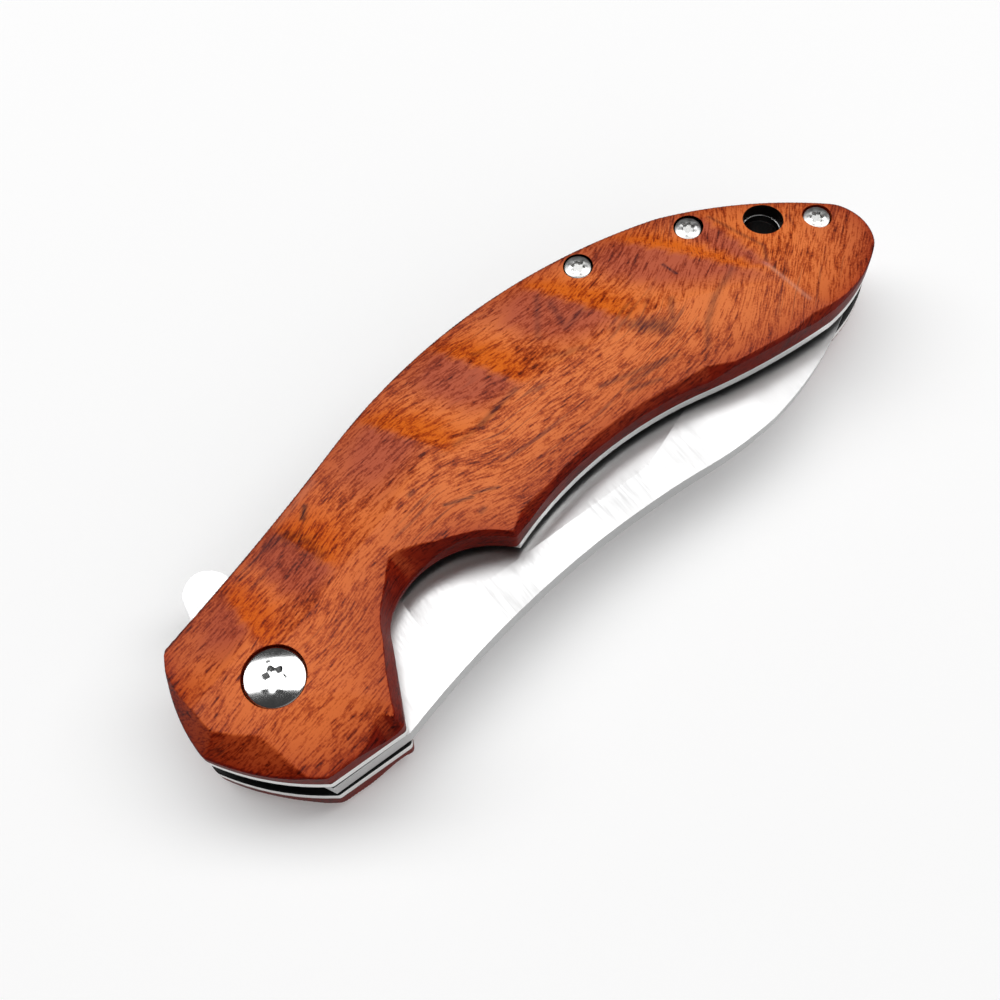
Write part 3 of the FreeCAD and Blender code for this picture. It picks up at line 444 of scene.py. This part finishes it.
def drilled(piece, cutters):
    """The piece with the cutters taken out of it, as a plain mesh again."""
    for points, faces in cutters:
        cutter = new_piece("cutter", points, faces, piece.data.materials[0])
        cut = piece.modifiers.new("drill", "BOOLEAN")
        cut.operation = "DIFFERENCE"
        cut.solver = "EXACT"
        cut.object = cutter
        bpy.context.view_layer.update()
        mesh = bpy.data.meshes.new_from_object(piece.evaluated_get(bpy.context.evaluated_depsgraph_get()))
        piece.modifiers.clear()
        old, piece.data = piece.data, mesh
        bpy.data.meshes.remove(old)
        bpy.data.objects.remove(cutter)
    return piece


def stretched_noise(tree, along, across, up, detail):
    """Noise over three sockets, each given with its number of cells per millimetre."""
    parts = [calc(tree, "MULTIPLY", socket, cells) for socket, cells in (along, across, up)]
    vector = add_node(tree, "ShaderNodeCombineXYZ", dict(zip("XYZ", parts)))
    return noise(tree, vector.outputs["Vector"], 1.0, detail)


def bend_after(tree, x, start, rate):
    """Zero before a place along the handle, then a straight climb, with a soft bend between them."""
    softness = 8.0
    past = calc(tree, "SUBTRACT", x, start)
    reach = calc(tree, "SQRT", calc(tree, "ADD", calc(tree, "MULTIPLY", past, past), softness ** 2))
    return calc(tree, "MULTIPLY", calc(tree, "ADD", calc(tree, "MULTIPLY", past, math.copysign(1, rate)), reach),
                rate / 2)


def shaded(tree, colour, shade, amount):
    """A colour multiplied by a shade, as far as the amount says."""
    factor = tinted(tree, (1.0, 1.0, 1.0, 1.0), shade, amount)
    return add_node(tree, "ShaderNodeMix", {"Factor": 1.0, 6: colour, 7: factor}, data_type="RGBA",
                    blend_type="MULTIPLY").outputs[2]


# Veins, cracks and the heart of the knot: x and y of both ends, half the width and the darkness. A negative
# darkness is pale.
MARKS = [
    (31.9, 6.0, 35.7, 4.6, 0.22, 0.9), (36.0, 5.1, 39.4, 3.6, 0.2, 0.8), (29.0, 10.2, 29.8, 10.4, 0.35, 0.6),
    (35.2, 2.1, 36.0, 2.2, 0.3, 0.6), (16.9, 18.8, 15.6, 17.3, 0.4, 0.8), (9.5, 16.8, 11.1, 16.8, 0.9, 0.35),
    (11.1, 16.8, 12.5, 16.3, 0.9, 0.35), (12.5, 16.3, 14.1, 13.9, 1.0, 0.4), (14.1, 13.9, 14.5, 10.6, 1.0, 0.3),
    (38.5, 12.6, 43.0, 12.8, 0.4, 0.35), (43.0, 12.8, 46.8, 13.7, 0.45, 0.7), (46.8, 13.7, 50.6, 14.4, 0.4, 0.5),
    (62.8, 25.4, 60.8, 22.7, 0.5, 0.4), (60.8, 22.7, 58.6, 19.7, 0.5, 0.35), (63.6, 23.2, 62.7, 18.4, 0.6, 0.35),
    (62.7, 18.4, 66.3, 19.0, 0.6, 0.35), (57.2, 15.9, 62.4, 13.7, 0.5, 0.35), (62.9, 4.3, 67.6, 2.9, 0.35, 0.5),
    (60.2, 7.2, 70.5, 4.9, 0.35, 0.5), (63.7, 5.1, 71.9, 4.6, 0.35, 0.5), (70.2, 12.5, 71.6, 11.1, 0.9, 0.5),
    (71.4, 11.3, 73.6, 9.4, 1.5, 0.6), (80.7, 18.0, 81.1, 15.4, 0.2, 0.8), (87.8, 10.7, 82.8, 8.7, 0.5, 0.4),
    (82.8, 8.7, 79.0, 6.0, 0.5, 0.5), (79.0, 6.0, 76.3, 2.8, 0.5, 0.4), (77.5, 12.3, 75.1, 9.2, 0.5, 0.5),
    (92.2, 8.5, 93.0, -0.2, 0.3, -0.45), (92.0, 20.7, 93.0, 16.1, 0.3, 0.5), (93.0, 16.1, 94.3, 11.1, 0.3, 0.45),
    (94.3, 11.1, 92.6, 8.6, 0.3, 0.5), (11.8, 18.7, 19.7, 21.3, 0.6, -0.3)]


def marked(x, y):
    """Darkness of the marks at each point: the strongest of them, each a bell curve of the distance from its
    line. The rim of the back edge is dark in the same way."""
    rim_width, rim_darkness = 0.25, 0.8
    shade = rim_darkness * np.exp(-(from_back_edge(x, y) / rim_width) ** 2)
    for x0, y0, x1, y1, width, dark in MARKS:
        share = np.clip(((x - x0) * (x1 - x0) + (y - y0) * (y1 - y0)) / ((x1 - x0) ** 2 + (y1 - y0) ** 2), 0, 1)
        apart = np.hypot(x - x0 - share * (x1 - x0), y - y0 - share * (y1 - y0))
        bell = dark * np.exp(-(apart / width) ** 2)
        shade = np.where(np.abs(bell) > np.abs(shade), bell, shade)
    return shade


def painted_edge_shade(x, y):
    """Share of the painted shade that darkens the edges: it falls off exponentially with the distance from the
    front edge and both ends, and starts weaker and falls off faster from the back edge, which is what lies above a
    level line through the ends."""
    front_reach, back_reach, back_strength, ends_level = 3.5, 2.0, 0.75, 12.0
    edge = sampled_outline(HANDLE_CORNERS, 0.2)
    from_front = edge_distance(x, y, edge[edge[:, 1] < ends_level])[0]
    from_back = from_back_edge(x, y)
    return np.maximum(np.exp(-from_front / front_reach), back_strength * np.exp(-from_back / back_reach))


wood, tree, shader, coordinates = new_finish("figured_wood", (0.45, 0.1, 0.02), 0.0, 0.42)
from_pivot = add_node(tree, "ShaderNodeMapping", {
    "Vector": coordinates, "Scale": (1000.0, 1000.0, 1000.0), "Location": (-PIVOT[0], -PIVOT[1], 0.0)}).outputs[0]
places = add_node(tree, "ShaderNodeSeparateXYZ", {"Vector": from_pivot})
x, y, z = [places.outputs[axis] for axis in "XYZ"]
# The fibres climb towards the back at both ends, run round a knot and wander. Fibre numbers count across them.
KNOT_X, KNOT_Y = 72.3, 10.7
knot_x = calc(tree, "MULTIPLY", calc(tree, "SUBTRACT", x, KNOT_X), 0.5)
knot_y = calc(tree, "SUBTRACT", y, KNOT_Y)
knot_reach = calc(tree, "ADD", calc(tree, "MULTIPLY", knot_x, knot_x), calc(tree, "MULTIPLY", knot_y, knot_y))
knot = calc(tree, "EXPONENT", calc(tree, "MULTIPLY", knot_reach, -0.08))
wander = calc(tree, "MULTIPLY", calc(tree, "SUBTRACT", noise(tree, from_pivot, 0.04, 1.0), 0.5), 6.0)
waver = calc(tree, "MULTIPLY", calc(tree, "SUBTRACT", noise(tree, from_pivot, 0.16, 1.0), 0.5), 0.6)
fibre = calc(tree, "SUBTRACT", y, bend_after(tree, x, 74.0, 0.7))
fibre = calc(tree, "SUBTRACT", fibre, bend_after(tree, x, 25.0, -0.32))
for part in (calc(tree, "MULTIPLY", knot, 1.6), wander, waver, calc(tree, "MULTIPLY", z, 0.8)):
    fibre = calc(tree, "ADD", fibre, part)
# Broad streaks, a cross figure of blotches, fine fibres and short dark pores.
streaks = stretched_noise(tree, (fibre, 0.55), (x, 0.03), (z, 0.2), 4.0)
blotches = noise(tree, from_pivot, 0.13, 3.0)
fine = stretched_noise(tree, (fibre, 3.2), (x, 0.5), (z, 2.0), 3.0)
speckle = noise(tree, from_pivot, 3.0, 2.0)
pores = spread(tree, stretched_noise(tree, (fibre, 2.8), (x, 0.42), (z, 2.0), 1.0), 0.55, 0.72)
tone = calc(tree, "MULTIPLY_ADD", streaks, 1.1, -1.92)
for part, weight in ((blotches, 1.0), (fine, 2.3), (pores, -0.35), (speckle, 1.0)):
    tone = calc(tree, "MULTIPLY_ADD", part, weight, tone)
ramp = add_node(tree, "ShaderNodeValToRGB", {"Fac": tone})
for number, (stop, shade) in enumerate([(0.05, (0.12, 0.014, 0.003)), (0.35, (0.34, 0.048, 0.008)),
                                        (0.6, (0.53, 0.098, 0.018)), (0.95, (0.78, 0.20, 0.05))]):
    if number > 1:
        ramp.color_ramp.elements.new(stop)
    ramp.color_ramp.elements[number].position = stop
    ramp.color_ramp.elements[number].color = (*shade, 1.0)
# Thin purple veins here and there, and the marks, broken up by the fibres.
vein_noise = stretched_noise(tree, (fibre, 0.4), (x, 0.014), (z, 0.2), 2.0)
vein = spread(tree, calc(tree, "ABSOLUTE", calc(tree, "SUBTRACT", vein_noise, 0.5)), 0.018, 0.0)
vein = calc(tree, "MULTIPLY", vein, spread(tree, noise(tree, from_pivot, 0.07, 2.0), 0.48, 0.6))
colour = tinted(tree, ramp.outputs["Color"], (0.10, 0.022, 0.02), calc(tree, "MULTIPLY", vein, 0.6))
marks = add_node(tree, "ShaderNodeAttribute", attribute_name="marks").outputs["Fac"]
broken = calc(tree, "MULTIPLY", marks, spread(tree, fine, 0.65, 0.3, 0.8, 1.6))
colour = tinted(tree, colour, (0.07, 0.014, 0.014), spread(tree, broken, 0.0, 1.0))
colour = tinted(tree, colour, (0.80, 0.36, 0.22), spread(tree, marks, 0.0, -1.0))
# The wood is redder at the pivot end. A cut that dips along the fibres gets a painted golden sheen and one that
# rises a painted purple sheen; the edges get painted shade, and a steep cut is darker, as end grain where it
# faces the ends and as painted shade where it faces the front.
colour = shaded(tree, colour, (0.95, 0.84, 0.72), spread(tree, x, 36.0, 6.0))
# Painted sheen and shade: golden on dipping cuts, purple on rising cuts, dark towards the edges.
PAINTED_SHEEN_AND_SHADE = {"dips": (0.90, 0.70, 0.22), "rises": (0.64, 0.50, 0.85), "edges": (0.5, 0.24, 0.24)}
for attribute, shade in PAINTED_SHEEN_AND_SHADE.items():
    amount = add_node(tree, "ShaderNodeAttribute", attribute_name=attribute).outputs["Fac"]
    colour = shaded(tree, colour, shade, amount)
leaning = normal_parts(tree)
steep = calc(tree, "SUBTRACT", calc(tree, "ABSOLUTE", leaning["X"]), leaning["Y"])
steep = spread(tree, steep, 0.2, 1.0)
# Painted shade on steep cuts that face the front, and darker end grain on those that face the ends.
colour = shaded(tree, colour, (0.42, 0.14, 0.10), steep)
# The lanyard hole is painted black, as painted shade inside it.
from_hole = add_node(tree, "ShaderNodeVectorMath", {
    0: add_node(tree, "ShaderNodeCombineXYZ", {"X": x, "Y": y}).outputs["Vector"], 1: (*LANYARD_PLACE, 0.0)},
    operation="DISTANCE")
colour = tinted(tree, colour, (0.008, 0.004, 0.003), spread(tree, from_hole.outputs["Value"], 3.08, 3.02))
tree.links.new(colour, shader.inputs["Base Color"])
tree.links.new(spread(tree, streaks, 0.2, 0.8, 0.36, 0.5), shader.inputs["Roughness"])
grooves = calc(tree, "MULTIPLY_ADD", pores, -1.0, calc(tree, "MULTIPLY", fine, 0.4))
bumped(tree, shader, grooves, 0.35, 0.00003)
tree.links.new(spread(tree, steep, 0.0, 1.0, 0.13, 0.05), shader.inputs["Specular IOR Level"])

scale_drills = [
    round_cutter([(0, 0)], [(3.0, -1), (3.0, 2.4), (4.45, 2.4), (4.45, 6)]),
    round_cutter(SCREW_PLACES, [(1.4, -1), (1.4, 1.2), (2.25, 1.2), (2.25, 6)]),
    round_cutter([LANYARD_PLACE], [(3.0, -1), (3.0, 6)]),
]
front_wood = drilled(new_piece("front_scale_wood", *carved_scale(BEVELS), wood), scale_drills)
rear_wood = drilled(new_piece("rear_scale_wood", *carved_scale(REAR_BEVELS), wood), scale_drills)
for piece, side in ((front_wood, 1), (rear_wood, -1)):
    mesh = piece.data
    mesh.set_sharp_from_angle(angle=math.radians(38))
    place = np.empty(len(mesh.vertices) * 3)
    mesh.vertices.foreach_get("co", place)
    place = place.reshape(-1, 3)
    across = place.T[:2] * 1000
    shares = {"dips": scallop_dip(*across, 0.0, 0.11), "rises": scallop_dip(*across, 0.0, -0.075),
              "marks": marked(*across), "edges": painted_edge_shade(*across)}
    for attribute, share in shares.items():
        mesh.attributes.new(attribute, "FLOAT", "POINT").data.foreach_set("value", share)
    place[:, :2] += PIVOT * 0.001
    place[:, 2] = (THICKNESS / 2 + side * (THICKNESS / 2 - SCALE_THICKNESS)) * 0.001 + side * place[:, 2]
    mesh.vertices.foreach_set("co", place.ravel())
    if side < 0:
        mesh.flip_normals()
    mesh.update()
    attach(piece, "handle")
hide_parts("front_scale")
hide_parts("rear_scale")

# Screws. Turned stainless screws with domed heads and a six-lobed drive: one polished pair at the pivot and
# three satin pairs along the back edge. They screw into the barrel and into the sleeves from both sides.
def domed_screw(head, rim, dome, shank, reach, drive, depth):
    """A screw from the seat of its head. A profile of rings runs from the middle of the drive's floor out over
    the drive's wall, the dome and the rim, and down the shank. Inside the drive the rings swell with its
    six lobes, by a cosine of six times the turn, and beyond it they become round again."""
    turns, lobe_count, lobe_share = 144, 6, 0.17
    angle = np.arange(turns) * 2 * np.pi / turns
    lobes = 1 + lobe_share * np.cos(lobe_count * angle)
    cap = rim + dome
    floor = cap - depth

    def dome_height(radius):
        return cap - dome * (radius / head) ** 2

    inner = [(0.02, floor, 1), (0.5 * drive, floor, 1), (0.86 * drive, floor, 1),
             (0.88 * drive, floor + 0.03, 1), (0.90 * drive, dome_height(drive) - 0.05, 1),
             (0.94 * drive, dome_height(drive), 1)]
    sweep = np.linspace(drive * 1.2, head - 0.12, 10)
    outer = [(radius, dome_height(radius), max(0.0, 1 - (radius / drive - 1) / 0.5)) for radius in sweep]
    edge = dome_height(head - 0.12)
    outer += [(head - 0.04, edge - 0.05, 0), (head, edge - 0.14, 0), (head, 0, 0), (shank, 0, 0),
              (shank, 0.3 - reach, 0), (shank - 0.3, -reach, 0), (0.02, -reach, 0)]
    radius, height, lobed = np.array(inner + outer).T
    swell = 1 + lobed[:, None] * (lobes - 1)
    points = np.stack([radius[:, None] * swell * np.cos(angle), radius[:, None] * swell * np.sin(angle),
                       np.repeat(height[:, None], turns, 1)], -1).reshape(-1, 3)
    level = np.arange(len(radius) - 1)[:, None] * turns + np.arange(turns)
    after = np.arange(len(radius) - 1)[:, None] * turns + (np.arange(turns) + 1) % turns
    faces = np.stack([level, level + turns, after + turns, after], -1).reshape(-1, 4).tolist()
    faces.append(list(range(turns)))
    faces.append(list(range((len(radius) - 1) * turns, len(radius) * turns))[::-1])
    return points, faces


def screw_row(name, screw, places, turned, seat, material, node_name):
    """One screw repeated at its places, each turned about its axis, on the show side or mirrored below."""
    points, faces = screw
    side = 1 if node_name.startswith("front") else -1
    all_points, all_faces = [], []
    for number, (place, degrees) in enumerate(zip(places, turned)):
        cosine, sine = math.cos(math.radians(degrees)), math.sin(math.radians(degrees))
        set_in = points @ np.array([[cosine, sine, 0], [-sine, cosine, 0], [0, 0, 1]])
        level = THICKNESS / 2 + side * (THICKNESS / 2 - SCALE_THICKNESS + seat + set_in[:, 2])
        all_points.append(np.column_stack([set_in[:, :2] + place + PIVOT, level]))
        all_faces += [[corner + number * len(points) for corner in face[::side]] for face in faces]
    row = new_piece(name, np.vstack(all_points), all_faces, material)
    row.data.set_sharp_from_angle(angle=math.radians(32))
    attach(row, "handle")
    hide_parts(node_name)
    return row


screw_steel = brushed_steel("screw_steel", (0.52, 0.52, 0.51), 0.34, (1500.0, 1500.0, 1500.0), 0.1)
pivot_steel = brushed_steel("pivot_steel", (0.58, 0.58, 0.58), 0.13, (900.0, 900.0, 900.0), 0.004)
# Radius of the head, its rim and dome, radius and length of the shank, and radius and depth of the drive.
pivot_screw = domed_screw(4.25, 1.4, 0.5, 1.98, 3.4, 1.55, 1.25)
body_screw = domed_screw(2.05, 0.95, 0.35, 1.25, 4.7, 1.0, 0.55)
for side in ("front", "rear"):
    row = screw_row(side + "_pivot_screw_turned", pivot_screw, [(0.0, 0.0)], [20.0], 2.4, pivot_steel,
                    side + "_pivot_screw")
    row = screw_row(side + "_body_screws_turned", body_screw, SCREW_PLACES, [12.0, 40.0, 25.0], 1.2, screw_steel,
                    side + "_body_screws")

# Table top. A plain pale surface, seen a little brighter than it lights the knife.
floor_paint, tree, shader, coordinates = new_finish("table_white", (0.84, 0.84, 0.84), 0.0, 0.7)
shader.inputs["Specular IOR Level"].default_value = 0.0
seen = tree.nodes.new("ShaderNodeLightPath")
seen_or_mirrored = calc(tree, "MAXIMUM", seen.outputs["Is Camera Ray"], seen.outputs["Is Glossy Ray"])
shader.inputs["Emission Color"].default_value = (1.0, 1.0, 1.0, 1.0)
tree.links.new(calc(tree, "MULTIPLY", seen_or_mirrored, 0.16), shader.inputs["Emission Strength"])
half, under = 3000.0, -0.05
corners = [(-half, -half, under), (half, -half, under), (half, half, under), (-half, half, under)]
floor = new_piece("table", corners, [[0, 1, 2, 3]], floor_paint)

# Studio light. A long soft box high behind the knife, and a dim room with a pale wall low in front of it. The
# room itself is seen white.
SOFT_BOX_TURN, SOFT_BOX_RISE, SOFT_BOX_AWAY = math.radians(54.0), math.radians(70.5), 2.4
soft_box = bpy.data.lights.new("soft_box", "AREA")
soft_box.shape = "RECTANGLE"
soft_box.size, soft_box.size_y = 7.0, 1.25
soft_box.energy = 98.0
soft_box_object = bpy.data.objects.new("soft_box", soft_box)
bpy.context.scene.collection.objects.link(soft_box_object)
soft_box_object.location = [SOFT_BOX_AWAY * part for part in (
    math.cos(SOFT_BOX_TURN) * math.cos(SOFT_BOX_RISE), math.sin(SOFT_BOX_TURN) * math.cos(SOFT_BOX_RISE),
    math.sin(SOFT_BOX_RISE))]
soft_box_object.rotation_euler = soft_box_object.location.to_track_quat("Z", "Y").to_euler()
room = bpy.data.worlds.new("room")
bpy.context.scene.world = room
room.use_nodes = True
tree = room.node_tree
direction = tree.nodes.new("ShaderNodeTexCoord").outputs["Generated"]
frontness = add_node(tree, "ShaderNodeVectorMath", {0: direction, 1: (0.0, -0.9, 0.44)}, operation="DOT_PRODUCT")
brightness = spread(tree, frontness.outputs["Value"], 0.6, 0.9, 0.06, 0.68)
seen = tree.nodes.new("ShaderNodeLightPath")
brightness = calc(tree, "MAXIMUM", brightness, seen.outputs["Is Camera Ray"])
tree.links.new(brightness, tree.nodes["Background"].inputs["Strength"])
tree.nodes["Background"].inputs["Color"].default_value = (1.0, 1.0, 1.0, 1.0)

# Camera. It follows from a few readings of the photograph in its own pixels: the picture's middle, the focal
# length, the point straight below the camera, and the pivot, with the knife's heading on the table.
PICTURE_WIDTH = 1000.0
MIDDLE = np.array([500.0, 500.0])
FOCAL = 1370.0
STRAIGHT_DOWN = np.array([570.0, 1130.0])
CAMERA_HEIGHT = 187.0
PIVOT_SEEN = np.array([274.8, 678.0])
PIVOT_HEIGHT = 16.2
HEADING = math.radians(37.0)


def unit(vector):
    """The vector at length one."""
    return np.asarray(vector) / np.linalg.norm(vector)


# Axes of the table in camera directions, which are right, down the picture and forwards.
down = unit([*(STRAIGHT_DOWN - MIDDLE), FOCAL])
to_right = unit(np.array([1.0, 0.0, 0.0]) - down[0] * down)
table_axes = np.stack([to_right, np.cross(-down, to_right), -down])
ray = np.array([*((PIVOT_SEEN - MIDDLE) / FOCAL), 1.0])
pivot_from_camera = table_axes @ (ray * (CAMERA_HEIGHT - PIVOT_HEIGHT) / (ray @ down))
turn = np.array([[math.cos(HEADING), math.sin(HEADING), 0], [-math.sin(HEADING), math.cos(HEADING), 0], [0, 0, 1]])
camera_axes = turn @ table_axes
place = np.array([*PIVOT, PIVOT_HEIGHT]) - turn @ pivot_from_camera
view = bpy.data.cameras.new("view")
view.sensor_width = 36.0
view.lens = FOCAL / PICTURE_WIDTH * view.sensor_width
view.clip_start = 0.01
camera = bpy.data.objects.new("view", view)
bpy.context.scene.collection.objects.link(camera)
matrix = np.eye(4)
matrix[:3, :3] = camera_axes * np.array([1, -1, -1])
matrix[:3, 3] = place * 0.001
camera.matrix_world = matrix.T.tolist()
bpy.context.scene.camera = camera
bpy.context.scene.view_settings.view_transform = "Standard"
